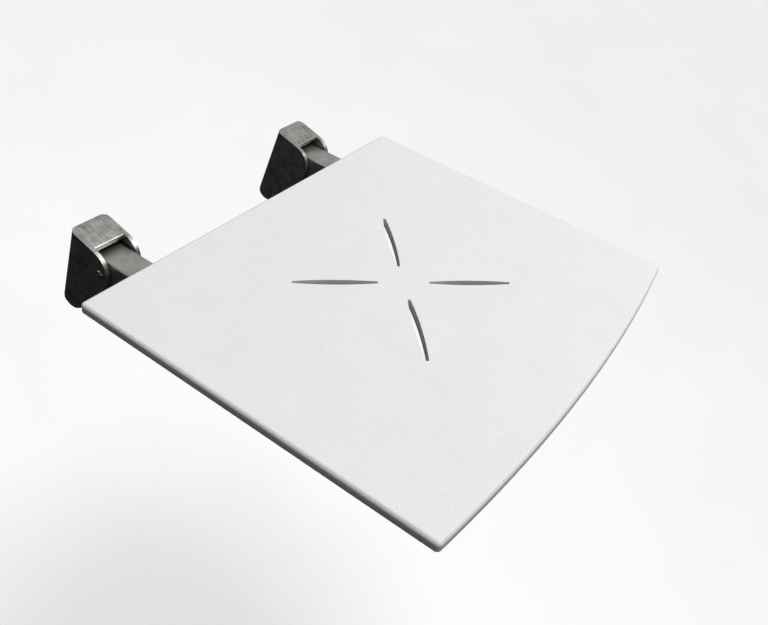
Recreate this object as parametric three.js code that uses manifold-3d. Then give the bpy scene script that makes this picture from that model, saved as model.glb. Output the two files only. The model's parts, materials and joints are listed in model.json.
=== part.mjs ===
// Wall-mounted folding shower seat.
//
// A slotted seat plate lies on two box-section arms. Each arm swings on a pin inside a
// bent steel bracket that is screwed to the wall. The seat is drawn resting a little
// above level; it comes down to level on rubber buffers and folds up flat to the wall.
//
// Millimetres. +Z is up, the wall is the plane y = 0 and the room lies towards -Y.
// The origin is on the wall, midway between the brackets, at the height of the pivots.

import * as THREE from 'three';
import { mergeVertices } from 'three/addons/utils/BufferGeometryUtils.js';
import Module from 'manifold-3d';

const wasm = await Module();
wasm.setup();

// Seat plate.
const SEAT_WIDTH = 450;
const SEAT_SIDE_DEPTH = 364;
const SEAT_FRONT_BOW = 14;
const SEAT_THICKNESS = 10;
const SEAT_CORNER_RADIUS = 4.2;
const SEAT_TOP_ARRIS = 3.4;
const SEAT_BOTTOM_ARRIS = 1.2;

// Drain slots: four lens-shaped cuts on the diagonals of one centre.
const SLOT_CENTRE_FROM_BACK = 183;
const SLOT_INNER_RADIUS = 25;
const SLOT_OUTER_RADIUS = 107;
const SLOT_WIDTH = 7;
const SLOT_TIP_WIDTH = 3;
const SLOT_COUNT = 4;

// Arms: box tube with the pivot at mid height.
const ARM_SPACING = 293;
const ARM_WIDTH = 29.6;
const ARM_HEIGHT = 25;
const ARM_WALL = 2;
const ARM_CORNER_RADIUS = 2;
const ARM_INNER_CORNER_RADIUS = 0.8;
const ARM_TAIL = 29;
const ARM_UNDER_SEAT = 300;

// Rubber pad between arm and seat plate.
const PAD_THICKNESS = 3.3;
const PAD_WIDTH = 24;
const PAD_END_MARGIN = 8;
const PAD_CORNER_RADIUS = 3;

// Pivot.
const PIVOT_OUT_FROM_WALL = 44.5;
const PIVOT_TO_SEAT_BACK = 45.5;
const REST_TILT_DEGREES = 15.5;
const PIN_DIAMETER = 8;
const PIN_PROUD = 1;
const PIN_SLOT_WIDTH = 1.4;
const PIN_SLOT_DEPTH = 1.6;
const PIN_SLOT_LEAN_DEGREES = 64;
const PIN_CHAMFER = 0.8;
const PIN_BLIND_DEPTH = 3.2;
const BUSH_DIAMETER = 12;
const BUSH_LENGTH = 9;
const BUSH_FLANGE_DIAMETER = 18;
const BUSH_FLANGE_THICKNESS = 0.9;
const FRICTION_WASHER_DIAMETER = 17;
const FRICTION_WASHER_THICKNESS = 0.6;
const SLEEVE_DIAMETER = 16;

// Bracket: a U bent from plate, with a top plate closing it above the arm's tail.
const CHEEK_THICKNESS = 4.2;
const BACK_THICKNESS = 5;
const TOP_THICKNESS = 4.5;
const BRACKET_DROP = 78;
const NOSE_OUT_FROM_WALL = 33.5;
const FOOT_RADIUS = 14;
const FRONT_ARC_RADIUS = 116;
const BEND_OUTER_RADIUS = 7;
const TOP_FRONT_ROUNDING = 2.5;
const WALL_HOLE_DIAMETER = 6.5;
const WALL_HOLE_SINK_DIAMETER = 12.5;
const WALL_HOLE_UPPER = -24;
const WALL_HOLE_LOWER = -56;

// Rubber buffer under the bracket's top plate: the seat's lower stop.
const BUFFER_THICKNESS = 2.5;
const BUFFER_WIDTH = 26;
const BUFFER_LENGTH = 14;
const BUFFER_CORNER_RADIUS = 2;
const BUFFER_SETBACK = 1;

// Seat fixings.
const SCREWS_PER_ARM = 3;
const SCREW_END_MARGIN = 30;
const SCREW_DIAMETER = 5;
const SCREW_HEAD_DIAMETER = 9;
const SCREW_HEAD_HEIGHT = 2.8;
const SCREW_HEAD_CHAMFER = 1;
const SCREW_TIP_CHAMFER = 0.6;
const SCREW_SHORT_OF_INSERT = 1;
const SCREW_SOCKET_ACROSS_FLATS = 3;
const SCREW_SOCKET_DEPTH = 1.6;
const WASHER_DIAMETER = 10;
const WASHER_THICKNESS = 1;
const INSERT_DIAMETER = 8;
const INSERT_GROOVE_DEPTH = 0.6;
const INSERT_GROOVE_FLOOR_SHARE = 0.12;
const INSERT_GROOVE_MOUTH_SHARE = 0.24;
const SEAT_SKIN_OVER_INSERT = 2.4;
const ACCESS_HOLE_DIAMETER = 11.5;

// End plugs of the arm tubes.
const PLUG_CAP_THICKNESS = 2;
const PLUG_BODY_LENGTH = 12;
const PLUG_BODY_WALL = 1.8;
const PLUG_BODY_CORNER_RADIUS = 1;

// Clearances.
const SIDE_PLAY = 0.2;
const RUNNING_CLEARANCE = 0.15;
const SEATING_GAP = 0.25;
const STOP_CLEARANCE = 0.5;
const HOLE_CLEARANCE = 0.3;

// Sizes that follow from the ones above.
const ARM_TOP = ARM_HEIGHT / 2;
const SEAT_BOTTOM = ARM_TOP + SEATING_GAP + PAD_THICKNESS + SEATING_GAP;
const SEAT_TOP = SEAT_BOTTOM + SEAT_THICKNESS;
const SIDE_STACK = BUSH_FLANGE_THICKNESS + FRICTION_WASHER_THICKNESS + 3 * SIDE_PLAY;
const CHEEK_GAP = ARM_WIDTH + 2 * SIDE_STACK;
const BRACKET_WIDTH = CHEEK_GAP + 2 * CHEEK_THICKNESS;
const BUFFER_BOTTOM = ARM_TOP + SEATING_GAP;
const BUFFER_TOP = BUFFER_BOTTOM + BUFFER_THICKNESS;
const TOP_UNDERSIDE = BUFFER_TOP + SEATING_GAP;
const BRACKET_TOP = TOP_UNDERSIDE + TOP_THICKNESS;
const TOP_FRONT = PIVOT_OUT_FROM_WALL - ARM_TOP - STOP_CLEARANCE;
const BEND_INNER_RADIUS = BEND_OUTER_RADIUS - CHEEK_THICKNESS;
const ARM_FRONT = PIVOT_TO_SEAT_BACK + ARM_UNDER_SEAT;
const BORE_DIAMETER = PIN_DIAMETER + 2 * RUNNING_CLEARANCE;
const INSERT_LENGTH = SEAT_THICKNESS - SEAT_SKIN_OVER_INSERT - 2 * HOLE_CLEARANCE;
const INSERT_BORE = SCREW_DIAMETER + 2 * RUNNING_CLEARANCE;
const WASHER_TOP = ARM_TOP - ARM_WALL - SEATING_GAP;
const SCREW_HEAD_TOP = WASHER_TOP - WASHER_THICKNESS - SEATING_GAP;
const SCREW_TIP = SEAT_BOTTOM + HOLE_CLEARANCE + INSERT_LENGTH - SCREW_SHORT_OF_INSERT;

// How the solids are made: reach of cutters that go right through, how far the others
// overshoot a face, the distance at which corners are merged, and facets per round.
const BEYOND = 400;
const OVERCUT = 1;
const WELD_DISTANCE = 1e-4;
const SMALL_STEPS = 16;
const ROUND_STEPS = 24;

// ---- materials --------------------------------------------------------------------

const MATERIALS = {
  plate: { color: 0xeceded, roughness: 0.45, metalness: 0 },
  steel: { color: 0xb8babb, roughness: 0.34, metalness: 1 },
  fastener: { color: 0xa9abad, roughness: 0.3, metalness: 1 },
  brass: { color: 0xb08d4a, roughness: 0.4, metalness: 1 },
  nylon: { color: 0x2b2c2e, roughness: 0.55, metalness: 0 },
  rubber: { color: 0x1c1d1e, roughness: 0.85, metalness: 0 },
};

function part(name, geometry, look) {
  const mesh = new THREE.Mesh(geometry, new THREE.MeshStandardMaterial(MATERIALS[look]));
  mesh.name = name;
  return mesh;
}

// ---- solids -----------------------------------------------------------------------

// A closed three.js geometry as a manifold solid: shared corners are merged and the
// zero-width triangles that a lathe leaves on its axis are dropped.
function solid(geometry) {
  const bare = geometry.clone();
  bare.deleteAttribute('normal');
  bare.deleteAttribute('uv');
  const merged = mergeVertices(bare, WELD_DISTANCE);
  const corners = [];
  const index = merged.index.array;
  for (let i = 0; i < index.length; i += 3) {
    const [a, b, c] = [index[i], index[i + 1], index[i + 2]];
    if (a !== b && b !== c && c !== a) corners.push(a, b, c);
  }
  return new wasm.Manifold(new wasm.Mesh({
    numProp: 3,
    vertProperties: new Float32Array(merged.attributes.position.array),
    triVerts: new Uint32Array(corners),
  }));
}

function geometryOf(body) {
  const mesh = body.getMesh();
  const geometry = new THREE.BufferGeometry();
  geometry.setAttribute('position', new THREE.BufferAttribute(mesh.vertProperties, 3));
  geometry.setIndex(new THREE.BufferAttribute(mesh.triVerts, 1));
  geometry.computeVertexNormals();
  return geometry;
}

function cut(body, tools) {
  return tools.reduce((rest, tool) => rest.subtract(tool), body);
}

// A box given by its low and high corners.
function block(low, high) {
  const size = high.map((value, axis) => value - low[axis]);
  const middle = high.map((value, axis) => (value + low[axis]) / 2);
  return solid(new THREE.BoxGeometry(...size).translate(...middle));
}

// Round bars along each axis, centred on a point.
function barAlongX(diameter, length, centre, steps = ROUND_STEPS) {
  const bar = new THREE.CylinderGeometry(diameter / 2, diameter / 2, length, steps);
  return solid(bar.rotateZ(Math.PI / 2).translate(...centre));
}

function barAlongZ(diameter, length, centre, steps = SMALL_STEPS) {
  const bar = new THREE.CylinderGeometry(diameter / 2, diameter / 2, length, steps);
  return solid(bar.rotateX(Math.PI / 2).translate(...centre));
}

// A closed profile of [radius, height] points turned about the height axis.
function turned(profile, steps) {
  const points = profile.map(([radius, height]) => new THREE.Vector2(radius, height));
  return new THREE.LatheGeometry(points, steps);
}

// A ring standing on height 0: outer wall up, inner wall down, closed on itself.
function ring(outerDiameter, innerDiameter, height, steps = SMALL_STEPS) {
  const [outer, inner] = [outerDiameter / 2, innerDiameter / 2];
  const profile = [[inner, 0], [outer, 0], [outer, height], [inner, height], [inner, 0]];
  return turned(profile, steps);
}

// Extrusion of a shape drawn as [out from wall, up], centred across X.
function acrossX(shape, width, curveSegments = 4) {
  const geometry = new THREE.ExtrudeGeometry(shape, {
    depth: width,
    bevelEnabled: false,
    curveSegments,
  });
  const outIntoRoom = new THREE.Vector3(0, -1, 0);
  const up = new THREE.Vector3(0, 0, 1);
  const sideways = new THREE.Vector3(-1, 0, 0);
  geometry.translate(0, 0, -width / 2);
  geometry.applyMatrix4(new THREE.Matrix4().makeBasis(outIntoRoom, up, sideways));
  return solid(geometry);
}

// Extrusion of a plan shape from one height to another.
function upwards(shape, low, high, curveSegments = 4) {
  const geometry = new THREE.ExtrudeGeometry(shape, {
    depth: high - low,
    bevelEnabled: false,
    curveSegments,
  });
  return solid(geometry.translate(0, 0, low));
}

// Extrusion of a shape drawn as [across, up] from one y to another.
function alongArm(shape, front, back, curveSegments = 2) {
  const geometry = new THREE.ExtrudeGeometry(shape, {
    depth: back - front,
    bevelEnabled: false,
    curveSegments,
  });
  return solid(geometry.rotateX(Math.PI / 2).translate(0, back, 0));
}

function roundedRectangle(width, height, radius, target = new THREE.Shape()) {
  const [x, y] = [width / 2 - radius, height / 2 - radius];
  target.absarc(x, y, radius, 0, Math.PI / 2);
  target.absarc(-x, y, radius, Math.PI / 2, Math.PI);
  target.absarc(-x, -y, radius, Math.PI, 1.5 * Math.PI);
  target.absarc(x, -y, radius, 1.5 * Math.PI, 2 * Math.PI);
  target.closePath();
  return target;
}

// ---- bracket ----------------------------------------------------------------------

// Centre of the circle of the given radius that holds two smaller circles inside it,
// touching both, on the side away from the bracket's front.
function enclosingCentre(first, firstRadius, second, secondRadius, radius) {
  const between = second.clone().sub(first);
  const distance = between.length();
  const [toFirst, toSecond] = [radius - firstRadius, radius - secondRadius];
  const along = (toFirst ** 2 - toSecond ** 2 + distance ** 2) / (2 * distance);
  const aside = Math.sqrt(toFirst ** 2 - along ** 2);
  const direction = between.normalize();
  const towardsWall = new THREE.Vector2(direction.y, -direction.x);
  return first.clone().addScaledVector(direction, along).addScaledVector(towardsWall, aside);
}

// The cheek's outline seen from the side: flat top, round nose, long front arc, round
// foot and a straight back against the wall.
function cheekOutline() {
  const nose = new THREE.Vector2(NOSE_OUT_FROM_WALL, 0);
  const foot = new THREE.Vector2(FOOT_RADIUS, -BRACKET_DROP + FOOT_RADIUS);
  const front = enclosingCentre(nose, BRACKET_TOP, foot, FOOT_RADIUS, FRONT_ARC_RADIUS);
  const noseAngle = nose.clone().sub(front).angle();
  const footAngle = foot.clone().sub(front).angle() - 2 * Math.PI;
  const noseEnd = noseAngle > Math.PI ? noseAngle - 2 * Math.PI : noseAngle;
  const outline = new THREE.Shape();
  outline.moveTo(0, BRACKET_TOP);
  outline.lineTo(nose.x, BRACKET_TOP);
  outline.absarc(nose.x, nose.y, BRACKET_TOP, Math.PI / 2, noseEnd, true);
  outline.absarc(front.x, front.y, FRONT_ARC_RADIUS, noseEnd, footAngle, true);
  outline.absarc(foot.x, foot.y, FOOT_RADIUS, footAngle, -Math.PI, true);
  outline.closePath();
  return outline;
}

// The U seen from above, with the two bends at the wall.
function bracketPlan(width, back, radius) {
  const half = width / 2;
  const plan = new THREE.Shape();
  plan.moveTo(-half, -BEYOND);
  plan.lineTo(half, -BEYOND);
  plan.absarc(half - radius, back - radius, radius, 0, Math.PI / 2);
  plan.absarc(-half + radius, back - radius, radius, Math.PI / 2, Math.PI);
  plan.closePath();
  return plan;
}

// What the rounding takes off the top plate's front edge.
function topFrontWaste() {
  const waste = new THREE.Shape();
  const radius = TOP_FRONT_ROUNDING;
  waste.moveTo(TOP_FRONT + OVERCUT, BRACKET_TOP + OVERCUT);
  waste.lineTo(TOP_FRONT - radius, BRACKET_TOP + OVERCUT);
  waste.absarc(TOP_FRONT - radius, BRACKET_TOP - radius, radius, Math.PI / 2, 0, true);
  waste.lineTo(TOP_FRONT + OVERCUT, BRACKET_TOP - radius);
  waste.closePath();
  return waste;
}

// A countersunk hole through the bracket's back.
function wallHole(height) {
  const [bore, sink] = [WALL_HOLE_DIAMETER / 2, WALL_HOLE_SINK_DIAMETER / 2];
  const sinkDepth = sink - bore;
  const shaft = new THREE.CylinderGeometry(bore, bore, 3 * BACK_THICKNESS, SMALL_STEPS);
  const coneLength = sinkDepth + OVERCUT;
  const cone = new THREE.CylinderGeometry(bore, sink + OVERCUT, coneLength, SMALL_STEPS);
  const coneMiddle = -BACK_THICKNESS + (sinkDepth - OVERCUT) / 2;
  return solid(shaft.translate(0, 0, height)).add(solid(cone.translate(0, coneMiddle, height)));
}

// outward is -1 for the left bracket and +1 for the right one. The pin goes in through
// the outer cheek and ends in a blind hole in the inner one.
function bracketGeometry(outward) {
  const outer = acrossX(cheekOutline(), BRACKET_WIDTH, 8)
    .intersect(upwards(bracketPlan(BRACKET_WIDTH, 0, BEND_OUTER_RADIUS), -BEYOND, BEYOND));
  const insidePlan = bracketPlan(CHEEK_GAP, -BACK_THICKNESS, BEND_INNER_RADIUS);
  const halfGap = CHEEK_GAP / 2;
  const holeStart = -halfGap - PIN_BLIND_DEPTH - HOLE_CLEARANCE;
  const holeEnd = BRACKET_WIDTH;
  const holeMiddle = outward * (holeStart + holeEnd) / 2;
  return geometryOf(cut(outer, [
    upwards(insidePlan, -BEYOND, TOP_UNDERSIDE),
    block([-halfGap, -BEYOND, -BEYOND], [halfGap, -TOP_FRONT, BEYOND]),
    acrossX(topFrontWaste(), CHEEK_GAP),
    wallHole(WALL_HOLE_UPPER),
    wallHole(WALL_HOLE_LOWER),
    barAlongX(BORE_DIAMETER, holeEnd - holeStart, [holeMiddle, -PIVOT_OUT_FROM_WALL, 0]),
  ]));
}

function bufferGeometry() {
  const front = TOP_FRONT - BUFFER_SETBACK;
  const back = front - BUFFER_LENGTH;
  const outline = roundedRectangle(BUFFER_WIDTH, BUFFER_LENGTH, BUFFER_CORNER_RADIUS);
  const pad = new THREE.ExtrudeGeometry(outline, {
    depth: BUFFER_THICKNESS,
    bevelEnabled: false,
    curveSegments: 3,
  });
  return pad.translate(0, -(front + back) / 2, BUFFER_BOTTOM);
}

// ---- pivot ------------------------------------------------------------------------

// The pin stands along X with its slotted end at +X, measured from the bracket's middle.
function pinGeometry() {
  const tip = -CHEEK_GAP / 2 - PIN_BLIND_DEPTH;
  const head = BRACKET_WIDTH / 2 + PIN_PROUD;
  const radius = PIN_DIAMETER / 2;
  const shank = solid(turned([
    [0, tip],
    [radius - PIN_CHAMFER, tip],
    [radius, tip + PIN_CHAMFER],
    [radius, head - PIN_CHAMFER],
    [radius - PIN_CHAMFER, head],
    [0, head],
  ], ROUND_STEPS).rotateZ(-Math.PI / 2));
  const half = PIN_SLOT_WIDTH / 2;
  const slot = block(
    [head - PIN_SLOT_DEPTH, -PIN_DIAMETER, -half],
    [head + OVERCUT, PIN_DIAMETER, half],
  );
  return geometryOf(shank.subtract(slot.rotate([PIN_SLOT_LEAN_DEGREES, 0, 0])));
}

// A flanged bush standing along X: flange face at x = 0, body towards -X.
function bushGeometry() {
  const [bore, body, flange] = [BORE_DIAMETER / 2, BUSH_DIAMETER / 2, BUSH_FLANGE_DIAMETER / 2];
  return turned([
    [bore, -BUSH_LENGTH - BUSH_FLANGE_THICKNESS],
    [body, -BUSH_LENGTH - BUSH_FLANGE_THICKNESS],
    [body, -BUSH_FLANGE_THICKNESS],
    [flange, -BUSH_FLANGE_THICKNESS],
    [flange, 0],
    [bore, 0],
    [bore, -BUSH_LENGTH - BUSH_FLANGE_THICKNESS],
  ], ROUND_STEPS).rotateZ(-Math.PI / 2);
}

function sleeveGeometry() {
  const bore = BUSH_DIAMETER + 2 * RUNNING_CLEARANCE;
  const tube = ring(SLEEVE_DIAMETER, bore, ARM_WIDTH, ROUND_STEPS);
  return tube.translate(0, -ARM_WIDTH / 2, 0).rotateZ(-Math.PI / 2);
}

function frictionWasherGeometry() {
  const disc = ring(FRICTION_WASHER_DIAMETER, BORE_DIAMETER, FRICTION_WASHER_THICKNESS, ROUND_STEPS);
  return disc.rotateZ(-Math.PI / 2);
}

// ---- arm --------------------------------------------------------------------------

// Distances of the seat screws in front of the plate's back edge.
function screwPositions() {
  const [first, last] = [SCREW_END_MARGIN, ARM_UNDER_SEAT - SCREW_END_MARGIN];
  const step = (last - first) / (SCREWS_PER_ARM - 1);
  return Array.from({ length: SCREWS_PER_ARM }, (_, i) => -PIVOT_TO_SEAT_BACK - first - i * step);
}

function armGeometry() {
  const section = roundedRectangle(ARM_WIDTH, ARM_HEIGHT, ARM_CORNER_RADIUS);
  const [insideWidth, insideHeight] = [ARM_WIDTH - 2 * ARM_WALL, ARM_HEIGHT - 2 * ARM_WALL];
  const inside = new THREE.Path();
  section.holes.push(roundedRectangle(insideWidth, insideHeight, ARM_INNER_CORNER_RADIUS, inside));
  const tube = alongArm(section, -ARM_FRONT, ARM_TAIL);
  const screwHole = SCREW_DIAMETER + 2 * HOLE_CLEARANCE;
  const sleeveHole = SLEEVE_DIAMETER + 2 * RUNNING_CLEARANCE;
  const holes = screwPositions().flatMap((y) => [
    barAlongZ(screwHole, 3 * ARM_WALL, [0, y, ARM_TOP]),
    barAlongZ(ACCESS_HOLE_DIAMETER, 3 * ARM_WALL, [0, y, -ARM_TOP]),
  ]);
  return geometryOf(cut(tube, [barAlongX(sleeveHole, 2 * ARM_WIDTH, [0, 0, 0]), ...holes]));
}

// A plug standing along Y: the cap's outer face at y = 0, the hollow body towards -Y.
function plugGeometry() {
  const inner = ARM_WALL + SEATING_GAP;
  const capSection = roundedRectangle(ARM_WIDTH, ARM_HEIGHT, ARM_CORNER_RADIUS);
  const cap = alongArm(capSection, -PLUG_CAP_THICKNESS, 0);
  const [bodyWidth, bodyHeight] = [ARM_WIDTH - 2 * inner, ARM_HEIGHT - 2 * inner];
  const bodySection = roundedRectangle(bodyWidth, bodyHeight, PLUG_BODY_CORNER_RADIUS);
  const body = alongArm(bodySection, -PLUG_CAP_THICKNESS - PLUG_BODY_LENGTH, -PLUG_CAP_THICKNESS / 2);
  const [x, z] = [bodyWidth / 2 - PLUG_BODY_WALL, bodyHeight / 2 - PLUG_BODY_WALL];
  const hollow = block([-x, -BEYOND, -z], [x, -PLUG_CAP_THICKNESS, z]);
  return geometryOf(cap.add(body).subtract(hollow));
}

function padGeometry() {
  const back = -PIVOT_TO_SEAT_BACK - PAD_END_MARGIN;
  const front = -ARM_FRONT + PAD_END_MARGIN;
  const outline = roundedRectangle(PAD_WIDTH, back - front, PAD_CORNER_RADIUS);
  const bottom = ARM_TOP + SEATING_GAP;
  const strip = upwards(outline, bottom, bottom + PAD_THICKNESS, 2);
  const holeDiameter = SCREW_DIAMETER + 4 * HOLE_CLEARANCE;
  const middle = (front + back) / 2;
  const holes = screwPositions().map((y) => (
    barAlongZ(holeDiameter, 3 * PAD_THICKNESS, [0, y - middle, bottom])
  ));
  return geometryOf(cut(strip, holes)).translate(0, middle, 0);
}

// ---- seat plate -------------------------------------------------------------------

// Plan of the plate, back edge on y = 0: square back and sides, front bowed outwards.
function seatOutline(inset) {
  const half = SEAT_WIDTH / 2 - inset;
  const radius = SEAT_CORNER_RADIUS - inset;
  const side = half - radius;
  const bowRadius = ((SEAT_WIDTH / 2) ** 2 + SEAT_FRONT_BOW ** 2) / (2 * SEAT_FRONT_BOW);
  const bowCentre = -SEAT_SIDE_DEPTH - SEAT_FRONT_BOW + bowRadius;
  const cornerY = bowCentre - Math.sqrt((bowRadius - SEAT_CORNER_RADIUS) ** 2 - side ** 2);
  const lean = Math.asin(side / (bowRadius - SEAT_CORNER_RADIUS));
  const outline = new THREE.Shape();
  outline.absarc(side, -SEAT_CORNER_RADIUS, radius, 0, Math.PI / 2);
  outline.absarc(-side, -SEAT_CORNER_RADIUS, radius, Math.PI / 2, Math.PI);
  outline.absarc(-side, cornerY, radius, Math.PI, 1.5 * Math.PI - lean);
  outline.absarc(0, bowCentre, bowRadius - inset, 1.5 * Math.PI - lean, 1.5 * Math.PI + lean);
  outline.absarc(side, cornerY, radius, 1.5 * Math.PI + lean, 2 * Math.PI);
  outline.closePath();
  return outline;
}

// The plan extruded between two heights with both rims rounded to one radius.
function roundedSlab(low, high, rimRadius) {
  const geometry = new THREE.ExtrudeGeometry(seatOutline(0), {
    depth: high - low - 2 * rimRadius,
    bevelThickness: rimRadius,
    bevelSize: rimRadius,
    bevelOffset: -rimRadius,
    bevelSegments: 4,
    curveSegments: 5,
  });
  return solid(geometry.translate(0, 0, low + rimRadius));
}

// One slot along +X: two shallow arcs meeting in small blunt tips.
function slotOutline() {
  const middle = (SLOT_INNER_RADIUS + SLOT_OUTER_RADIUS) / 2;
  const tip = SLOT_TIP_WIDTH / 2;
  const halfLength = SLOT_OUTER_RADIUS - middle - tip;
  const bulge = (SLOT_WIDTH - SLOT_TIP_WIDTH) / 2;
  const flankRadius = (halfLength ** 2 + bulge ** 2) / (2 * bulge);
  const flankCentre = flankRadius - bulge;
  const lean = Math.asin(halfLength / flankRadius);
  const outline = new THREE.Shape();
  outline.absarc(middle, -flankCentre, flankRadius + tip, Math.PI / 2 - lean, Math.PI / 2 + lean);
  outline.absarc(middle - halfLength, 0, tip, Math.PI / 2 + lean, 1.5 * Math.PI - lean);
  outline.absarc(middle, flankCentre, flankRadius + tip, 1.5 * Math.PI - lean, 1.5 * Math.PI + lean);
  outline.absarc(middle + halfLength, 0, tip, -Math.PI / 2 + lean, Math.PI / 2 - lean);
  outline.closePath();
  return outline;
}

function slotCutter(turn) {
  const geometry = new THREE.ExtrudeGeometry(slotOutline(), {
    depth: 2 * SEAT_THICKNESS,
    bevelEnabled: false,
    curveSegments: 5,
  });
  geometry.rotateZ(turn);
  geometry.translate(0, -SLOT_CENTRE_FROM_BACK, SEAT_BOTTOM - SEAT_THICKNESS / 2);
  return solid(geometry);
}

function seatGeometry() {
  const slab = roundedSlab(SEAT_BOTTOM - 2 * SEAT_THICKNESS, SEAT_TOP, SEAT_TOP_ARRIS)
    .intersect(roundedSlab(SEAT_BOTTOM, SEAT_TOP + 2 * SEAT_THICKNESS, SEAT_BOTTOM_ARRIS));
  const slots = Array.from({ length: SLOT_COUNT }, (_, i) => (
    slotCutter((i + 0.5) * 2 * Math.PI / SLOT_COUNT)
  ));
  const insertHole = INSERT_DIAMETER + 2 * HOLE_CLEARANCE;
  const insertDepth = INSERT_LENGTH + 2 * HOLE_CLEARANCE;
  const inserts = [-1, 1].flatMap((side) => screwPositions().map((y) => {
    const place = [side * ARM_SPACING / 2, y + PIVOT_TO_SEAT_BACK, SEAT_BOTTOM];
    return barAlongZ(insertHole, 2 * insertDepth, place);
  }));
  return geometryOf(cut(slab, [...slots, ...inserts])).translate(0, -PIVOT_TO_SEAT_BACK, 0);
}

// ---- seat fixings -----------------------------------------------------------------

// Socket screw standing up Z: underside of the head at z = 0.
function screwGeometry() {
  const length = SCREW_TIP - SCREW_HEAD_TOP;
  const [shank, head] = [SCREW_DIAMETER / 2, SCREW_HEAD_DIAMETER / 2];
  const body = solid(turned([
    [0, -SCREW_HEAD_HEIGHT],
    [head - SCREW_HEAD_CHAMFER, -SCREW_HEAD_HEIGHT],
    [head, -SCREW_HEAD_HEIGHT + SCREW_HEAD_CHAMFER],
    [head, 0],
    [shank, 0],
    [shank, length - SCREW_TIP_CHAMFER],
    [shank - SCREW_TIP_CHAMFER, length],
    [0, length],
  ], SMALL_STEPS).rotateX(Math.PI / 2));
  const socketRadius = SCREW_SOCKET_ACROSS_FLATS / Math.sqrt(3);
  const hexagon = new THREE.CylinderGeometry(socketRadius, socketRadius, 2 * SCREW_SOCKET_DEPTH, 6);
  const socket = solid(hexagon.rotateX(Math.PI / 2).translate(0, 0, -SCREW_HEAD_HEIGHT));
  return geometryOf(body.subtract(socket));
}

function washerGeometry() {
  return ring(WASHER_DIAMETER, INSERT_BORE, WASHER_THICKNESS).rotateX(Math.PI / 2);
}

// Threaded insert standing up Z from z = 0, with a groove round its middle.
function insertGeometry() {
  const [bore, outer] = [INSERT_BORE / 2, INSERT_DIAMETER / 2];
  const groove = outer - INSERT_GROOVE_DEPTH;
  const middle = INSERT_LENGTH / 2;
  const floor = INSERT_GROOVE_FLOOR_SHARE * INSERT_LENGTH / 2;
  const mouth = INSERT_GROOVE_MOUTH_SHARE * INSERT_LENGTH / 2;
  return turned([
    [bore, 0],
    [outer, 0],
    [outer, middle - mouth],
    [groove, middle - floor],
    [groove, middle + floor],
    [outer, middle + mouth],
    [outer, INSERT_LENGTH],
    [bore, INSERT_LENGTH],
    [bore, 0],
  ], SMALL_STEPS).rotateX(Math.PI / 2);
}

// ---- assembly ---------------------------------------------------------------------

const SIDES = [['left', -1], ['right', 1]];
const CHEEKS = [['inner', -1], ['outer', 1]];

// Bracket, buffer, pin and friction washers: the pieces that stay on the wall.
function wallSide(name, outward) {
  const group = new THREE.Group();
  group.position.x = outward * ARM_SPACING / 2;
  group.add(part(`bracket_${name}`, bracketGeometry(outward), 'steel'));
  group.add(part(`stop_buffer_${name}`, bufferGeometry(), 'rubber'));

  const pivot = new THREE.Group();
  pivot.position.y = -PIVOT_OUT_FROM_WALL;
  pivot.rotation.z = outward > 0 ? 0 : Math.PI;
  pivot.add(part(`pivot_pin_${name}`, pinGeometry(), 'fastener'));
  for (const [cheek, direction] of CHEEKS) {
    const washer = part(`friction_washer_${name}_${cheek}`, frictionWasherGeometry(), 'fastener');
    const nearFace = CHEEK_GAP / 2 - SIDE_PLAY - FRICTION_WASHER_THICKNESS;
    washer.position.x = direction > 0 ? nearFace : -nearFace - FRICTION_WASHER_THICKNESS;
    pivot.add(washer);
  }
  group.add(pivot);
  return group;
}

// Arm with its pivot fittings, plugs, pad and screws. Origin on the pivot axis.
function armSide(name, outward) {
  const group = new THREE.Group();
  group.position.x = outward * ARM_SPACING / 2;
  group.add(part(`arm_${name}`, armGeometry(), 'steel'));
  group.add(part(`pivot_sleeve_${name}`, sleeveGeometry(), 'fastener'));
  group.add(part(`arm_pad_${name}`, padGeometry(), 'rubber'));

  for (const [cheek, direction] of CHEEKS) {
    const bush = part(`pivot_bush_${name}_${cheek}`, bushGeometry(), 'nylon');
    const flangeFace = ARM_WIDTH / 2 + SIDE_PLAY + BUSH_FLANGE_THICKNESS;
    bush.position.x = outward * direction * flangeFace;
    bush.rotation.z = outward * direction > 0 ? 0 : Math.PI;
    group.add(bush);
  }

  const tailPlug = part(`tail_plug_${name}`, plugGeometry(), 'nylon');
  tailPlug.position.y = ARM_TAIL + SEATING_GAP + PLUG_CAP_THICKNESS;
  group.add(tailPlug);

  const frontPlug = part(`front_plug_${name}`, plugGeometry(), 'nylon');
  frontPlug.position.y = -ARM_FRONT - SEATING_GAP - PLUG_CAP_THICKNESS;
  frontPlug.rotation.z = Math.PI;
  group.add(frontPlug);

  screwPositions().forEach((y, i) => {
    const screw = part(`seat_screw_${name}_${i + 1}`, screwGeometry(), 'fastener');
    screw.position.set(0, y, SCREW_HEAD_TOP);
    const washer = part(`screw_washer_${name}_${i + 1}`, washerGeometry(), 'fastener');
    washer.position.set(0, y, WASHER_TOP - WASHER_THICKNESS);
    const insert = part(`seat_insert_${name}_${i + 1}`, insertGeometry(), 'brass');
    insert.position.set(0, y, SEAT_BOTTOM + HOLE_CLEARANCE);
    group.add(screw, washer, insert);
  });
  return group;
}

const seat = new THREE.Group();
seat.position.y = -PIVOT_OUT_FROM_WALL;
seat.rotation.x = -THREE.MathUtils.degToRad(REST_TILT_DEGREES);
seat.add(part('seat_plate', seatGeometry(), 'plate'));

const showerSeat = new THREE.Group();
for (const [name, outward] of SIDES) {
  showerSeat.add(wallSide(name, outward));
  seat.add(armSide(name, outward));
}
showerSeat.add(seat);

export default showerSeat;
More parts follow.
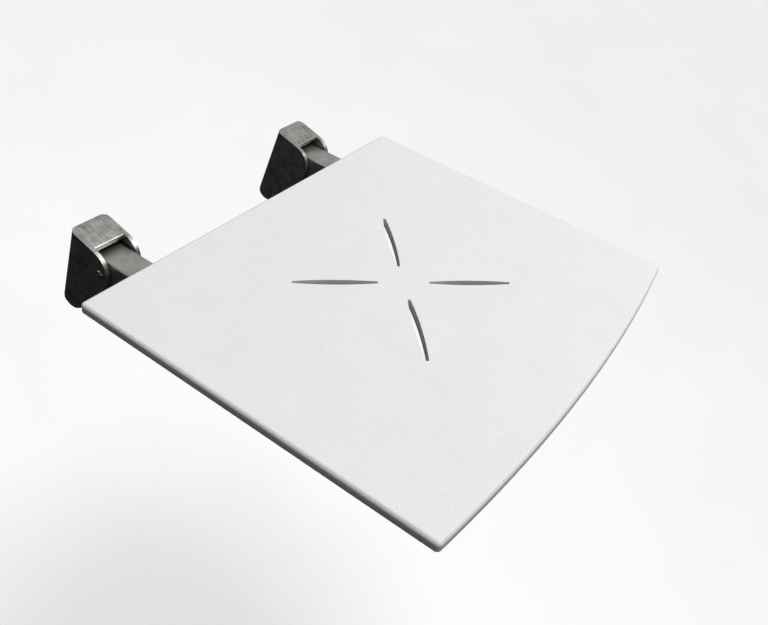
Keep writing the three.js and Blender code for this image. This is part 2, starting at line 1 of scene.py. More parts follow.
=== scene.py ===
# %% [markdown]
# # A folding shower seat for a bathroom wall
#
# The real seat is a white plate with four drain slots. It lies on two steel arms, and each arm swings
# on a pin inside a steel wall bracket. This lesson dresses the engineering model of that seat: the
# model says where every piece is, and each cell here gives a piece its fine surface or its finish.

# %% Load the engineering model
import json
import math
from functools import partial

import bmesh
import bpy
import numpy as np
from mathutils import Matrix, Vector
from mathutils.geometry import delaunay_2d_cdt


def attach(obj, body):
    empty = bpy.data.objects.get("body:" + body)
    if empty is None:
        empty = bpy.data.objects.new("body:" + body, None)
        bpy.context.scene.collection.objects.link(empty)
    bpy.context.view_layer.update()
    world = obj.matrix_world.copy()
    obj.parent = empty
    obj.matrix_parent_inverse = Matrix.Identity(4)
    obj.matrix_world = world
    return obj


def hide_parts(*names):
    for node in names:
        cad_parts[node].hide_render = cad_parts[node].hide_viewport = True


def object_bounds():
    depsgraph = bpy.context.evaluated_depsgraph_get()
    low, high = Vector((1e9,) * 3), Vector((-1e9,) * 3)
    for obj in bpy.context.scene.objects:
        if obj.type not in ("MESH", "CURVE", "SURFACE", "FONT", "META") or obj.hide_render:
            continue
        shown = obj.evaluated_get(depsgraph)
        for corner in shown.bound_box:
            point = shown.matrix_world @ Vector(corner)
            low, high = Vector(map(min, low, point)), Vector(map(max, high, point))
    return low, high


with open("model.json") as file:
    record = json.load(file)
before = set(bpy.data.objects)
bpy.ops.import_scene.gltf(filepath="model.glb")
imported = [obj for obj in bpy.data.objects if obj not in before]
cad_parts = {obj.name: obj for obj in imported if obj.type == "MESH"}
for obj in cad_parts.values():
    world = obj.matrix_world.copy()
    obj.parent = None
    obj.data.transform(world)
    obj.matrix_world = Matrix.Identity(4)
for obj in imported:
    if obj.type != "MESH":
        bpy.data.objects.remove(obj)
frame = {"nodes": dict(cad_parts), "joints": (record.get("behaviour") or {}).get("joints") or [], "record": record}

CAD_LOW, CAD_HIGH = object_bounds()
NODES = frame["nodes"]
JOINT = frame["joints"][0]
MM = 0.001
print("model box in mm:", [round(v / MM, 1) for v in CAD_HIGH - CAD_LOW])

# %% [markdown]
# ## The seat's own axes
#
# The seat is drawn tipped up a little from level, so nothing on it is square to the room. All its
# pieces are easier to think about lying flat: x across, y along the arms and z up, with the pivot as
# the origin. One turn about the pivot then puts them in place. The
# hinge's lower limit is exactly the angle back to level, so the angle comes from the joint.

# %% Seat axes
PIVOT = np.array(JOINT["pos_m"])
TILT = math.radians(-JOINT["range_deg"][0])


def tipped(flat):
    """Points drawn with the seat level, turned about the pivot to the resting tilt: a plain
    rotation about x that lifts the front edge, then a shift to the pivot."""
    c, s = math.cos(TILT), math.sin(TILT)
    x, y, z = flat[:, 0], flat[:, 1], flat[:, 2]
    return np.stack([x, y * c + z * s, z * c - y * s], axis=1) + PIVOT


def levelled(world):
    """The inverse of tipped: where a point of the resting seat lies on the level seat."""
    c, s = math.cos(TILT), math.sin(TILT)
    x, y, z = (world - PIVOT).T
    return np.stack([x, y * c - z * s, z * c + y * s], axis=1)


def node_points(name):
    """All corners of a model node, as rows of x, y, z."""
    mesh = NODES[name].data
    points = np.empty(len(mesh.vertices) * 3, np.float32)
    mesh.vertices.foreach_get("co", points)
    return points.reshape(-1, 3).astype(float)


def linked(name, data):
    """A new object for a mesh, camera or light, linked into the scene."""
    made = bpy.data.objects.new(name, data)
    bpy.context.scene.collection.objects.link(made)
    return made


print("resting tilt in degrees:", round(math.degrees(TILT), 2))

# %% [markdown]
# ## Camera
#
# The viewer stands in front of the seat and to its left and looks down on it. The camera is held a
# little askew, which a roll of the view gives. A short distance makes the near corner look large.

# %% Camera
CAMERA_PLACE = (-0.54831, -0.39875, 0.60866)
CAMERA_TURN_DEGREES = (40.5229, -20.9365, -52.7123)
CAMERA_LENS = 37.958
SENSOR_WIDTH = 36.0
NEAREST_SEEN = 0.01

camera = linked("camera", bpy.data.cameras.new("camera"))
camera.data.lens = CAMERA_LENS
camera.data.sensor_width = SENSOR_WIDTH
camera.data.clip_start = NEAREST_SEEN
camera.location = CAMERA_PLACE
camera.rotation_euler = [math.radians(a) for a in CAMERA_TURN_DEGREES]
bpy.context.scene.camera = camera
print("camera to the middle of the seat in mm:",
      round((camera.location - (CAD_LOW + CAD_HIGH) / 2).length / MM))

# %% [markdown]
# ## Node and colour helpers
#
# Colours are chosen as a person reads them off a colour chart, in sRGB hex, and shaders want linear
# light. One function adds any shader node with its settings and links, so that each finish below
# reads as a list of what it is made of.

# %% Node and colour helpers
def linear(code):
    """An sRGB hex colour as linear red, green, blue and 1: the standard sRGB curve undone."""
    values = np.array([int(code[i:i + 2], 16) for i in (1, 3, 5)]) / 255
    low = values / 12.92
    high = ((values + 0.055) / 1.055) ** 2.4
    return (*np.where(values <= 0.04045, low, high).tolist(), 1.0)


def add(tree, kind, settings=None, **inputs):
    """Adds a node. Settings are its own properties; inputs are sockets by name, with _ for a space,
    and each takes a number, a colour or another node's output. A mix or math node has several
    sockets of one name, so there _ and a number picks the socket by its place."""
    node = tree.nodes.new(kind)
    for key, value in (settings or {}).items():
        setattr(node, key, value)
    for key, value in inputs.items():
        socket = node.inputs[int(key[1:]) if key[1:].isdigit() else key.replace("_", " ")]
        if isinstance(value, bpy.types.NodeSocket):
            tree.links.new(value, socket)
        else:
            socket.default_value = value
    return node


def ramp(tree, factor, stops):
    """A colour ramp from a list of (position, hex colour)."""
    node = add(tree, "ShaderNodeValToRGB", Fac=factor)
    elements = node.color_ramp.elements
    while len(elements) < len(stops):
        elements.new(0.5)
    for element, (position, code) in zip(elements, stops):
        element.position = position
        element.color = linear(code)
    return node.outputs["Color"]


def scaled(tree, factor, low, high):
    """A 0 to 1 value spread over low to high."""
    node = add(tree, "ShaderNodeMapRange", Value=factor, To_Min=low, To_Max=high)
    return node.outputs["Result"]


def new_material(name):
    """An empty material with a Principled shader, its tree and its object coordinates."""
    material = bpy.data.materials.new(name)
    material.use_nodes = True
    tree = material.node_tree
    shader = tree.nodes["Principled BSDF"]
    place = add(tree, "ShaderNodeTexCoord").outputs["Object"]
    return material, tree, shader, place


def noise(tree, place, size_mm, detail=3.0, roughness=0.5):
    """Cloudy noise whose blotches are about size_mm across."""
    node = add(tree, "ShaderNodeTexNoise", Vector=place, Scale=1 / (size_mm * MM), Detail=detail,
               Roughness=roughness)
    return node.outputs["Fac"]


def averaged(tree, first, second):
    """Half of one value and half of another."""
    share = add(tree, "ShaderNodeMath", {"operation": "MULTIPLY"}, _0=second, _1=0.5).outputs[0]
    total = add(tree, "ShaderNodeMath", {"operation": "MULTIPLY_ADD"}, _0=first, _1=0.5, _2=share)
    return total.outputs[0]


def wire(tree, shader, **inputs):
    """Links outputs to the shader's sockets by name, with _ for a space."""
    for key, value in inputs.items():
        tree.links.new(value, shader.inputs[key.replace("_", " ")])


def fixed(shader, **inputs):
    """Numbers and colours that are the same all over, set on the shader's own sockets."""
    for key, value in inputs.items():
        shader.inputs[key.replace("_", " ")].default_value = value


# %% [markdown]
# ## Finish: solid white laminate
#
# The plate is cut from solid compact laminate, white all the way through, and its face comes from a
# fine matt press plate. What the eye gets is an almost even off-white with faint clouding some
# centimetres across, a fine grain of about 1 mm, a satin sheen and no clear reflections. The sawn
# edges, finished by sanding, are rougher than the pressed face, and their colour is painted a touch
# greyer as painted shade on the sides and the rounded rim. The mesh carries an attribute that is 1 on the edges.

# %% Finish: solid white laminate
def white_laminate():
    """Off-white pressed face; on the edges rougher, with a greyer colour that is painted shade."""
    material, tree, shader, place = new_material("white_compact_laminate")
    clouds = noise(tree, place, size_mm=38, detail=4.0)
    grain = noise(tree, place, size_mm=1.1, detail=5.0, roughness=0.65)
    speck = noise(tree, place, size_mm=2.6, detail=2.0)
    face = ramp(tree, clouds, [(0.30, "#eaeae9"), (0.70, "#ededec")])
    grained = add(tree, "ShaderNodeMix", {"data_type": "RGBA", "blend_type": "MULTIPLY"},
                  _0=1.0, _6=face, _7=ramp(tree, grain, [(0.35, "#eeeeee"), (0.65, "#ffffff")]))
    sanded_and_shaded = add(tree, "ShaderNodeAttribute", {"attribute_name": "sanded_and_shaded"}).outputs["Fac"]
    # Painted shade: the edge colour is greyer than the face, standing in for the shade on the plate's sides and
    # rim.
    edge = ramp(tree, speck, [(0.35, "#cfcfcc"), (0.65, "#dadad7")])
    colour = add(tree, "ShaderNodeMix", {"data_type": "RGBA"}, _0=sanded_and_shaded, _6=grained.outputs[2], _7=edge)
    matt = add(tree, "ShaderNodeMix", _0=sanded_and_shaded, _2=scaled(tree, clouds, low=0.42, high=0.52),
               _3=scaled(tree, speck, low=0.58, high=0.70))
    bump = add(tree, "ShaderNodeBump", Strength=0.16, Distance=0.06 * MM, Height=grain)
    wire(tree, shader, Base_Color=colour.outputs[2], Roughness=matt.outputs[0],
         Normal=bump.outputs["Normal"])
    fixed(shader, IOR=1.5)
    return material


# %% [markdown]
# ## Finish: brushed stainless steel
#
# Brackets and arms are stainless steel gone over with an abrasive belt. The scratches are about
# 0.1 mm apart, too fine to see singly, so they are drawn about 0.5 mm apart, long in the brushing
# direction. Handling leaves cloudy darker patches a centimetre or two across. The rounded corners get
# a painted highlight, a fixed bright colour in place of the light they catch, and are smoother than
# the faces. The meshes mark them with an attribute.

# %% Finish: brushed stainless steel
BRUSH_STRETCH = 0.03


def brushed_stainless(name, along, tilt, dark, light):
    """Stainless brushed along the axis with that number (0, 1 or 2), the pattern turned by tilt
    about x so that it lies straight on a tipped piece."""
    material, tree, shader, place = new_material(name)
    turned = add(tree, "ShaderNodeMapping", {"vector_type": "POINT"}, Vector=place,
                 Rotation=(tilt, 0.0, 0.0)).outputs["Vector"]
    stretch = [1.0, 1.0, 1.0]
    stretch[along] = BRUSH_STRETCH
    lines = add(tree, "ShaderNodeMapping", Vector=turned, Scale=tuple(stretch)).outputs["Vector"]
    scratches = noise(tree, lines, size_mm=0.55, detail=4.0, roughness=0.7)
    clouds = noise(tree, place, size_mm=14, roughness=0.6)
    blend = averaged(tree, scratches, clouds)
    colour = ramp(tree, blend, [(0.36, dark), (0.64, light)])
    painted_highlight = add(tree, "ShaderNodeAttribute", {"attribute_name": "painted_highlight"}).outputs["Fac"]
    # Painted highlight: where the attribute is 1, on the rounded corners, the colour is a fixed bright grey
    # standing in for the light they catch; the roughness there is lower too.
    bright = add(tree, "ShaderNodeMix", {"data_type": "RGBA"}, _0=painted_highlight, _6=colour,
                 _7=linear("#dddcd8"))
    matt = add(tree, "ShaderNodeMix", _0=painted_highlight, _2=scaled(tree, blend, low=0.44, high=0.30), _3=0.24)
    bump = add(tree, "ShaderNodeBump", Strength=0.35, Distance=0.03 * MM, Height=scratches)
    wire(tree, shader, Base_Color=bright.outputs[2], Roughness=matt.outputs[0],
         Normal=bump.outputs["Normal"])
    fixed(shader, Metallic=1.0)
    return material


# %% [markdown]
# ## Finish: turned metal
#
# Pins, sleeves, washers and screws come off a lathe, and the brass inserts do too. The tool leaves
# rings round the axis. The rings are about 0.1 mm apart and are drawn at 0.4 mm, too coarse to be
# true but fine enough to read as turning. A noise that changes fast along the axis and slowly across
# it draws them on the round faces, and end faces stay nearly plain.

# %% Finish: turned metal
RING_SPREAD = 0.05


def turned_metal(name, dark, light, axis):
    """Metal with lathe rings along the axis with that number (0, 1 or 2)."""
    material, tree, shader, place = new_material(name)
    squash = [RING_SPREAD] * 3
    squash[axis] = 1.0
    across = add(tree, "ShaderNodeMapping", Vector=place, Scale=tuple(squash)).outputs["Vector"]
    rings = noise(tree, across, size_mm=0.4, roughness=0.6)
    stains = noise(tree, place, size_mm=5)
    blend = averaged(tree, rings, stains)
    bump = add(tree, "ShaderNodeBump", Strength=0.25, Distance=0.02 * MM, Height=rings)
    wire(tree, shader, Base_Color=ramp(tree, blend, [(0.32, dark), (0.68, light)]),
         Roughness=scaled(tree, blend, low=0.34, high=0.20), Normal=bump.outputs["Normal"])
    fixed(shader, Metallic=1.0)
    return material


# %% [markdown]
# ## Finish: moulded nylon and rubber
#
# Bushes and plugs are black nylon from a spark-eroded mould, which leaves an even grain of about
# 0.4 mm. Pads and buffers are black rubber: duller, with a coarser texture and a grey bloom.

# %% Finish: moulded nylon and rubber
def moulded_black(name, dark, light, grain_mm, smooth, rough, ior):
    """A black moulding whose roughness runs from smooth to rough with its grain."""
    material, tree, shader, place = new_material(name)
    grain = noise(tree, place, grain_mm, roughness=0.6)
    bloom = noise(tree, place, size_mm=9)
    bump = add(tree, "ShaderNodeBump", Strength=0.3, Distance=0.05 * MM, Height=grain)
    wire(tree, shader, Base_Color=ramp(tree, bloom, [(0.35, dark), (0.70, light)]),
         Roughness=scaled(tree, grain, smooth, rough), Normal=bump.outputs["Normal"])
    fixed(shader, IOR=ior)
    return material


LAMINATE = white_laminate()
BRACKET_STEEL = brushed_stainless("brushed_stainless_bracket", along=1, tilt=0.0,
                                  dark="#74736f", light="#cfcecb")
ARM_STEEL = brushed_stainless("brushed_stainless_arm", along=1, tilt=TILT,
                              dark="#a3a29f", light="#cccbc7")
PIN_STEEL = turned_metal("turned_stainless_crosswise", "#8e8d8b", "#cfcecb", axis=0)
SCREW_STEEL = turned_metal("turned_stainless_upright", "#8e8d8b", "#cfcecb", axis=2)
BRASS = turned_metal("turned_brass", "#a8894a", "#d3b476", axis=2)
NYLON = moulded_black("black_nylon", "#161617", "#202022", grain_mm=0.4, smooth=0.42, rough=0.56,
                      ior=1.53)
RUBBER = moulded_black("black_rubber", "#101011", "#1c1c1d", grain_mm=0.8, smooth=0.68, rough=0.86,
                       ior=1.52)
print("finishes:", [material.name for material in bpy.data.materials])

# %% [markdown]
# ## Making a piece from arrays
#
# Every made piece ends the same way: vertices and faces become a mesh, the finish goes on, and the
# piece is tied to the moving body whose engineering node it stands for. The node stays in the
# physics model and is only hidden in the picture.

# %% Making a piece from arrays
BODY_OF = {node: body for body, names in frame["record"]["behaviour"]["bodies"].items()
           for node in names}


def finish_piece(piece, node, material):
    """Gives a piece its finish and puts it in the place of its engineering node."""
    piece.data.materials.clear()
    piece.data.materials.append(material)
    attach(piece, BODY_OF[node])
    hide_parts(node)
    return piece


def mesh_object(name, points, faces):
    """A smooth-shaded object from an array of points and a list of faces."""
    mesh = bpy.data.meshes.new(name)
    mesh.from_pydata(points.tolist(), [], faces)
    mesh.shade_smooth()
    mesh.update()
    return linked(name, mesh)


def point_attribute(mesh, name, values):
    """Stores one number per vertex under a name that a material can read."""
    mesh.attributes.new(name, "FLOAT", "POINT").data.foreach_set("value", values.astype(np.float32))


# %% [markdown]
# ## The seat plate
#
# The plate is a flat slab, square at the back, with a shallow bow along the front edge, tight corner
# radii and a soft rounded rim on top. The rim could be a Bevel modifier, but the slots make that
# fragile, so the plate is worked out directly. Its outline is a function of one parameter; moving
# inwards by an inset gives a parallel outline with the same number of points. Stacking outlines at
# the insets and heights of the rim's section sweeps the section round the plate.

# %% Seat plate sizes
SEAT_WIDTH = 450.0
SEAT_SIDE_DEPTH = 364.0
SEAT_FRONT_BOW = 14.0
SEAT_THICKNESS = 10.0
CORNER_RADIUS = 4.2
TOP_ARRIS = 3.4
BOTTOM_ARRIS = 1.2
PIVOT_TO_SEAT_BACK = 45.5
SLOT_CENTRE_FROM_BACK = 183.0
SLOT_INNER_RADIUS = 25.0
SLOT_OUTER_RADIUS = 107.0
SLOT_WIDTH = 7.0
SLOT_TIP_WIDTH = 3.0
SLOT_COUNT = 4
SLOT_RIM = 0.3
GUARD = 0.5
POCKET_CLEARANCE = 0.3
SANDED_AND_SHADED_SHORT_OF_TOP = 0.2
POCKET_SHARP_DEGREES = 50

CORNER_POINTS = 14
FRONT_POINTS = 90
FLANK_POINTS = 40
TIP_POINTS = 12
POCKET_POINTS = 32
RIM_POINTS = 10
SLOT_RIM_POINTS = 5
SAME_POINT = 1e-6
TRIANGLES_INSIDE = 1

plate_flat = levelled(node_points("seat_plate")) / MM
PLATE_BOTTOM = plate_flat[:, 2].min()
print("plate lies", round(PLATE_BOTTOM, 2), "mm above the pivot and is",
      round(np.ptp(plate_flat[:, 0]), 2), "mm wide")


# %% Seat plate outlines
def arc(centre, radius, start, end, count):
    """Points of a circular arc: centre + radius * (cos, sin) of count even angles."""
    angles = np.linspace(start, end, count)
    return np.stack([centre[0] + radius * np.cos(angles), centre[1] + radius * np.sin(angles)], axis=1)


def plate_outline(inset):
    """The plate's plan moved inwards by inset, back edge on y = 0: four corner arcs, and a long
    front arc through the bow. Every inset gives the same number of points, so outlines pair up."""
    radius = CORNER_RADIUS - inset
    side = SEAT_WIDTH / 2 - CORNER_RADIUS
    bow = ((SEAT_WIDTH / 2) ** 2 + SEAT_FRONT_BOW ** 2) / (2 * SEAT_FRONT_BOW)
    centre = -SEAT_SIDE_DEPTH - SEAT_FRONT_BOW + bow
    corner = centre - math.sqrt((bow - CORNER_RADIUS) ** 2 - side ** 2)
    lean = math.asin(side / (bow - CORNER_RADIUS))
    down = 1.5 * math.pi
    return np.concatenate([
        arc((side, -CORNER_RADIUS), radius, 0, math.pi / 2, CORNER_POINTS),
        arc((-side, -CORNER_RADIUS), radius, math.pi / 2, math.pi, CORNER_POINTS),
        arc((-side, corner), radius, math.pi, down - lean, CORNER_POINTS),
        arc((0, centre), bow - inset, down - lean, down + lean, FRONT_POINTS)[1:-1],
        arc((side, corner), radius, down + lean, 2 * math.pi, CORNER_POINTS),
    ])


def slot_outline(index, margin):
    """One lens-shaped slot grown outwards by margin: two long shallow arcs joined by round tips,
    turned to its diagonal."""
    middle = (SLOT_INNER_RADIUS + SLOT_OUTER_RADIUS) / 2
    tip = SLOT_TIP_WIDTH / 2
    half = SLOT_OUTER_RADIUS - middle - tip
    bulge = (SLOT_WIDTH - SLOT_TIP_WIDTH) / 2
    flank = (half ** 2 + bulge ** 2) / (2 * bulge)
    lean = math.asin(half / flank)
    up, down = math.pi / 2, 1.5 * math.pi
    along = np.concatenate([
        arc((middle, bulge - flank), flank + tip + margin, up - lean, up + lean, FLANK_POINTS),
        arc((middle - half, 0), tip + margin, up + lean, down - lean, TIP_POINTS)[1:-1],
        arc((middle, flank - bulge), flank + tip + margin, down - lean, down + lean, FLANK_POINTS),
        arc((middle + half, 0), tip + margin, lean - up, up - lean, TIP_POINTS)[1:-1],
    ])
    turn = (index + 0.5) * 2 * math.pi / SLOT_COUNT
    c, s = math.cos(turn), math.sin(turn)
    x, y = along.T
    return np.stack([x * c - y * s, x * s + y * c - SLOT_CENTRE_FROM_BACK], axis=1)


def pocket_outline(centre, radius):
    """A round pocket in the underside, as a closed ring of points."""
    return arc(centre, radius, 0, 2 * math.pi, POCKET_POINTS + 1)[:-1]


# %% Seat plate surface
def rim_section(top_radius, bottom_radius, steps):
    """(inset, height) pairs up the plate's edge: flat guard, bottom quarter round, wall, top
    quarter round, flat guard. The guard rings keep the shading of the big flat faces true."""
    angles = np.linspace(0, math.pi / 2, steps)
    bottom = [(bottom_radius * (1 - math.sin(a)), bottom_radius * (1 - math.cos(a))) for a in angles]
    top = [(top_radius * (1 - math.cos(a)), SEAT_THICKNESS - top_radius * (1 - math.sin(a)))
           for a in angles]
    return [(bottom_radius + GUARD, 0.0), *bottom, *top, (top_radius + GUARD, SEAT_THICKNESS)]


class Surface:
    """Collects rings of points and the faces between them."""

    def __init__(self):
        self.points = []
        self.faces = []
        self.count = 0

    def ring(self, outline, height):
        """Adds one closed ring at a height and returns the numbers of its points."""
        level = np.full((len(outline), 1), height)
        self.points.append(np.hstack([outline, level]))
        numbers = np.arange(self.count, self.count + len(outline))
        self.count += len(outline)
        return numbers

    def bridge(self, lower, upper, outwards=True):
        """Quads between two rings that run anticlockwise. A hole's wall faces its own middle."""
        quads = np.stack([lower, np.roll(lower, -1), np.roll(upper, -1), upper], axis=1)
        self.faces += (quads if outwards else quads[:, ::-1]).tolist()

    def stack(self, outline_at, section, outwards=True):
        """Sweeps a section of (offset, height) up an outline; returns its lowest and highest ring."""
        rings = [self.ring(outline_at(offset), height) for offset, height in section]
        for lower, upper in zip(rings, rings[1:]):
            self.bridge(lower, upper, outwards)
        return rings[0], rings[-1]

    def flat(self, outer, holes, facing_up):
        """Triangles over the flat face inside one ring and outside some others."""
        points = np.vstack(self.points)
        loops = [outer, *holes]
        numbers = np.concatenate(loops)
        starts = np.cumsum([0] + [len(loop) for loop in loops])
        edges = []
        for start, loop in zip(starts, loops):
            first = start + np.arange(len(loop))
            edges += np.stack([first, np.roll(first, -1)], axis=1).tolist()
        corners = [Vector(corner) for corner in points[numbers, :2].tolist()]
        made, _, triangles, source, _, _ = delaunay_2d_cdt(corners, edges, [], TRIANGLES_INSIDE,
                                                           SAME_POINT)
        triangles = np.array(triangles)
        centres = np.array(made)[triangles].mean(axis=1)
        keep = np.ones(len(triangles), bool)
        for hole in holes:
            keep &= ~inside(centres, points[hole][:, :2])
        back = numbers[[same[0] for same in source]]
        kept = back[triangles[keep]]
        self.faces += (kept if facing_up else kept[:, ::-1]).tolist()


def inside(points, polygon):
    """Whether each point is inside a polygon, by counting the edges that a ray crosses."""
    x, y = points[:, :1], points[:, 1:]
    x1, y1 = polygon.T
    x2, y2 = np.roll(polygon, -1, axis=0).T
    spans = (y1 > y) != (y2 > y)
    with np.errstate(divide="ignore", invalid="ignore"):
        crossing = x < (x2 - x1) * (y - y1) / (y2 - y1) + x1
    return (spans & crossing).sum(axis=1) % 2 == 1


def seat_plate():
    """The whole plate: rounded rim, slot walls, insert pockets and the two flat faces between them."""
    surface = Surface()
    rim = rim_section(TOP_ARRIS, BOTTOM_ARRIS, RIM_POINTS)
    low, high = surface.stack(plate_outline, rim)
    slot_wall = rim_section(SLOT_RIM, SLOT_RIM, SLOT_RIM_POINTS)
    slots = [surface.stack(partial(slot_outline, index), slot_wall, outwards=False)
             for index in range(SLOT_COUNT)]
    pockets = []
    edge_count = surface.count
    for name in sorted(n for n in NODES if n.startswith("seat_insert")):
        insert = levelled(node_points(name)) / MM
        middle = (insert.min(0) + insert.max(0)) / 2
        radius = np.ptp(insert[:, 0]) / 2 + POCKET_CLEARANCE
        depth = insert[:, 2].max() + POCKET_CLEARANCE - PLATE_BOTTOM
        centre = (middle[0], middle[1] + PIVOT_TO_SEAT_BACK)
        mouth = surface.ring(pocket_outline(centre, radius), 0.0)
        ceiling = surface.ring(pocket_outline(centre, radius), depth)
        surface.bridge(mouth, ceiling, outwards=False)
        surface.faces.append(ceiling.tolist()[::-1])
        pockets.append(mouth)
    surface.flat(high, [slot[1] for slot in slots], facing_up=True)
    surface.flat(low, [slot[0] for slot in slots] + pockets, facing_up=False)
    points = np.vstack(surface.points)
    height = points[:edge_count, 2]
    # Rim points below the top guard get 1: rougher, and painted greyer as painted shade in the laminate.
    sanded_and_shaded = np.zeros(len(points))
    sanded_and_shaded[:edge_count] = (height > 0.0) & (height < SEAT_THICKNESS - SANDED_AND_SHADED_SHORT_OF_TOP)
    points += (0.0, -PIVOT_TO_SEAT_BACK, PLATE_BOTTOM)
    piece = mesh_object("seat_plate_fine", tipped(points * MM), surface.faces)
    point_attribute(piece.data, "sanded_and_shaded", sanded_and_shaded)
    piece.data.set_sharp_from_angle(angle=math.radians(POCKET_SHARP_DEGREES))
    return finish_piece(piece, "seat_plate", LAMINATE)


plate = seat_plate()
print("plate faces:", len(plate.data.polygons))

# %% [markdown]
# ## Brackets and arms
#
# The brackets are bent and welded from plate and the arms are box tube. The engineering shape is
# right, but its corners are knife-sharp, and real ones are broken by the belt and catch the light. A
# merged copy of the node gets a small rounded bevel on its sharp edges. The faces that the bevel makes
# are marked with an attribute, where the steel paints a highlight. A last modifier
# takes each normal from the largest face beside it, so the flats stay flat and only the rounds turn.

# %% Merged, rounded copies
SHARP_DEGREES = 32
FLAT_DEGREES = 0.4
WELD_MM = 0.002
BEVEL_SEGMENTS = 3


def merged_copy(name, node):
    """A copy of a node with its loose triangles joined and its flat faces made whole."""
    shape = bmesh.new()
    shape.from_mesh(NODES[node].data)
    bmesh.ops.remove_doubles(shape, verts=shape.verts, dist=WELD_MM * MM)
    bmesh.ops.dissolve_limit(shape, angle_limit=math.radians(FLAT_DEGREES), verts=shape.verts,
                             edges=shape.edges, delimit={"NORMAL"})
    mesh = bpy.data.meshes.new(name)
    shape.to_mesh(mesh)
    shape.free()
    return linked(name, mesh)


def rounded_copy(node, radius_mm, material):
    """Stands for a node with its sharp edges rounded off. A face attribute is 1 on the rounds, where the steel
    paints a highlight.
    """
    piece = merged_copy(node + "_fine", node)
    shape = bmesh.new()
    shape.from_mesh(piece.data)
    sharp = [e for e in shape.edges if len(e.link_faces) == 2
             and e.calc_face_angle(0) > math.radians(SHARP_DEGREES)]
    painted_highlight = shape.faces.layers.float.new("painted_highlight")
    made = bmesh.ops.bevel(shape, geom=sharp, offset=radius_mm * MM, offset_type="OFFSET",
                           segments=BEVEL_SEGMENTS, profile=0.5, affect="EDGES", clamp_overlap=True)
    # The bevel's faces are marked for the steel's painted highlight.
    for face in made["faces"]:
        face[painted_highlight] = 1.0
    bmesh.ops.triangulate(shape, faces=[f for f in shape.faces if len(f.verts) > 4])
    shape.to_mesh(piece.data)
    shape.free()
    piece.data.shade_smooth()
    piece.data.set_sharp_from_angle(angle=math.radians(SHARP_DEGREES))
    flats = piece.modifiers.new("true flats", "WEIGHTED_NORMAL")
    flats.mode = "FACE_AREA"
    flats.keep_sharp = True
    return finish_piece(piece, node, material)


ROUNDED = {
    "bracket": (0.5, BRACKET_STEEL),
    "arm": (0.5, ARM_STEEL),
    "pivot_pin": (0.12, PIN_STEEL),
    "arm_pad": (0.5, RUBBER),
    "stop_buffer": (0.4, RUBBER),
    "tail_plug": (0.4, NYLON),
    "front_plug": (0.4, NYLON),
}
for kind, (radius, material) in ROUNDED.items():
    for hand in ("left", "right"):
        piece = rounded_copy(f"{kind}_{hand}", radius, material)
        print(piece.name, "faces:", len(piece.data.polygons))

# %% [markdown]
# ## Small fittings inside
#
# Bushes, washers, sleeves, screws and inserts are out of sight between the cheeks or inside the
# tubes. Their engineering shapes are already right, so they stay and only get their finishes.

# %% Small fittings inside
KEPT = {
    "pivot_bush": NYLON,
    "pivot_sleeve": PIN_STEEL,
    "friction_washer": PIN_STEEL,
    "seat_screw": SCREW_STEEL,
    "screw_washer": SCREW_STEEL,
    "seat_insert": BRASS,
}
for kind, material in KEPT.items():
    for name in (n for n in NODES if n.startswith(kind)):
        NODES[name].data.materials.clear()
        NODES[name].data.materials.append(material)
    print(kind, "finish:", material.name)

# %% [markdown]
# ## Floor, world and lights
#
# A plain pale floor lies well below the seat, so the plate's shadow on it is wide and faint. The main
# light is a wide diffused ceiling, which lights floor and plate evenly and points straight down as a
# new lamp does. A dim panel at the back right is what the steel's top faces mirror, and a smaller one
# at the front right puts the highlights on the rounded noses. The left has only a glint for the pin
# end's chamfer, so faces turned left stay dark.
#
# The floor is kept out of bounced light and reflections, which a real studio does only in part, with
# black card. The world is dim on matt surfaces and pale where it is seen directly. In steel it is pale
# above the horizon and dark well below it.

# %% Floor, world and lights
FLOOR_BELOW = 1.2
FLOOR_SIZE = 40.0
SKY_ON_MATT = 0.03
SKY_IN_METAL = 0.34
DARK_IN_METAL = 0.012
DARK_BELOW = -0.45
BACKDROP = 0.95
OVERHEAD_STRENGTH = 2.7
OVERHEAD_SPREAD_DEGREES = 38

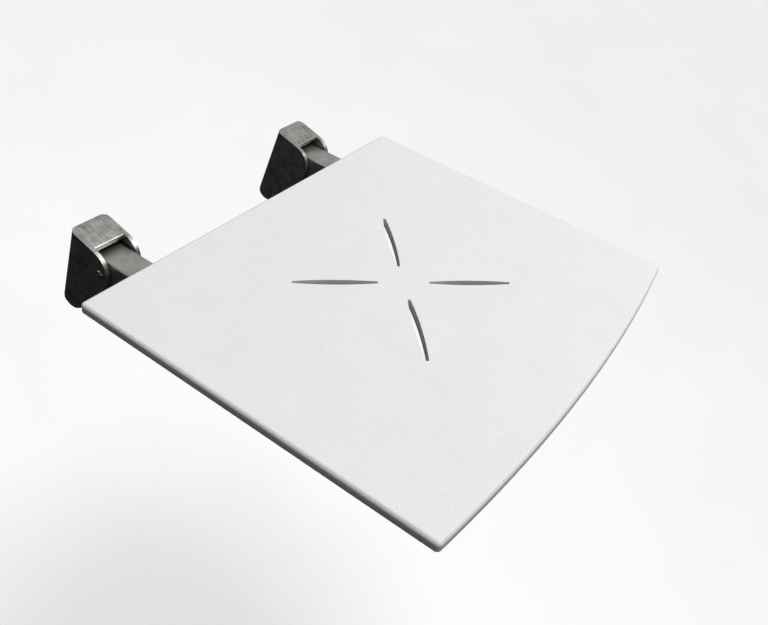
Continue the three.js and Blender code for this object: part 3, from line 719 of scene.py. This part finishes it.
floor_material, floor_tree, floor_shader, floor_place = new_material("pale_studio_floor")
stains = noise(floor_tree, floor_place, size_mm=400)
wire(floor_tree, floor_shader, Base_Color=ramp(floor_tree, stains, [(0.3, "#fafafa"), (0.7, "#fdfdfd")]))
fixed(floor_shader, Roughness=0.9)
square = np.array([[-1, -1, 0], [1, -1, 0], [1, 1, 0], [-1, 1, 0]]) * FLOOR_SIZE / 2
floor = mesh_object("studio_floor", square + (0, 0, CAD_LOW.z - FLOOR_BELOW), [(0, 1, 2, 3)])
floor.data.materials.append(floor_material)
floor.visible_diffuse = False
floor.visible_glossy = False

world = bpy.data.worlds.new("studio")
world.use_nodes = True
sky = world.node_tree
path = add(sky, "ShaderNodeLightPath").outputs
heading = add(sky, "ShaderNodeTexCoord").outputs["Generated"]
upwards = add(sky, "ShaderNodeSeparateXYZ", Vector=heading).outputs["Z"]
in_metal = add(sky, "ShaderNodeMapRange", Value=upwards, From_Min=DARK_BELOW, From_Max=0.0,
               To_Min=DARK_IN_METAL, To_Max=SKY_IN_METAL).outputs["Result"]
lit = add(sky, "ShaderNodeMix", _0=path["Is Glossy Ray"], _2=SKY_ON_MATT, _3=in_metal).outputs[0]
seen = add(sky, "ShaderNodeMix", _0=path["Is Camera Ray"], _2=lit, _3=BACKDROP).outputs[0]
sky.links.new(seen, sky.nodes["Background"].inputs["Strength"])
sky.nodes["Background"].inputs["Color"].default_value = linear("#ffffff")
bpy.context.scene.world = world


def soft_box(name, place, aim, size, watts):
    """A square area light that faces a point."""
    lamp = bpy.data.lights.new(name, "AREA")
    lamp.shape = "SQUARE"
    lamp.size = size
    lamp.energy = watts
    light = linked(name, lamp)
    light.location = place
    light.rotation_euler = (Vector(aim) - Vector(place)).to_track_quat("-Z", "Y").to_euler()


SEAT_MIDDLE = (CAD_LOW + CAD_HIGH) / 2
overhead = bpy.data.lights.new("overhead_diffuser", "SUN")
overhead.energy = OVERHEAD_STRENGTH
overhead.angle = math.radians(OVERHEAD_SPREAD_DEGREES)
linked("overhead_diffuser", overhead)
soft_box("back_right_panel", (1.08, 1.10, 0.95), SEAT_MIDDLE, size=1.8, watts=1.6)
soft_box("front_right_lamp", (0.95, -0.85, 1.35), SEAT_MIDDLE, size=0.8, watts=8.5)
soft_box("back_left_glint", (-1.08, 0.50, 0.66), SEAT_MIDDLE, size=0.3, watts=0.35)
bpy.context.scene.view_settings.view_transform = "Standard"
print("lights:", [light.name for light in bpy.data.lights])
